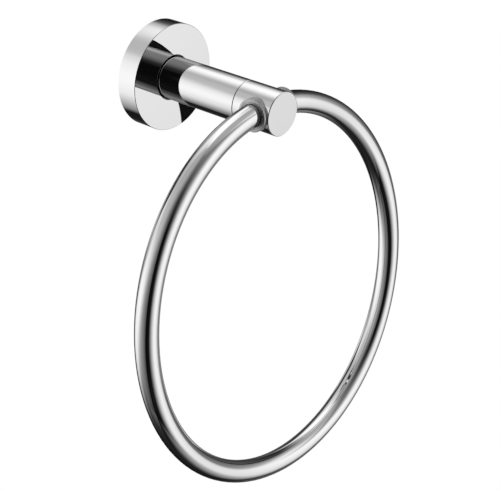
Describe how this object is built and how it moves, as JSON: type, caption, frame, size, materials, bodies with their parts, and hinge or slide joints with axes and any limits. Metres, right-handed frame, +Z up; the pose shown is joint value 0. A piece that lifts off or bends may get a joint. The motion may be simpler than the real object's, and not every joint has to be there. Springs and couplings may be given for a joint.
{
  "type": "towel ring",
  "caption": "Wall-mounted towel ring: a round cup flange, a straight round post and a large round ring that swings in bushes in the head of the post.",
  "frame": {"origin": "centre of the flange's back, on the axis of the post, in the plane of the wall", "axes": "+Z up, -Y out from the wall along the post, +Y into the wall, +X to the right of someone who faces the wall"},
  "size_m": [0.201, 0.1057, 0.22],
  "materials": {
    "chrome_plate": "mirror-polished chrome plate on brass or steel",
    "bush_metal": "turned bushes, satin grey",
    "zinc_bracket": "die-cast bracket, plain and dull",
    "screw_steel": "zinc-plated steel screws and washers"
  },
  "bodies": {
    "holder": {"wall_flange": "chrome_plate", "wall_bracket": "zinc_bracket", "set_screw": "screw_steel", "post_washer": "screw_steel", "post_lock_washer": "screw_steel", "post_screw": "screw_steel", "post": "chrome_plate", "head_stud": "screw_steel", "head": "chrome_plate", "bush_left": "bush_metal", "bush_right": "bush_metal"},
    "hoop": {"ring": "chrome_plate", "pin_left": "screw_steel", "pin_right": "screw_steel"}
  },
  "joints": [
    {"name": "ring_swing", "type": "hinge", "parent": "holder", "child": "hoop", "pos_m": [0, -0.0738, 0], "axis": [-1, 0, 0], "range_deg": [-29, 193]}
  ]
}
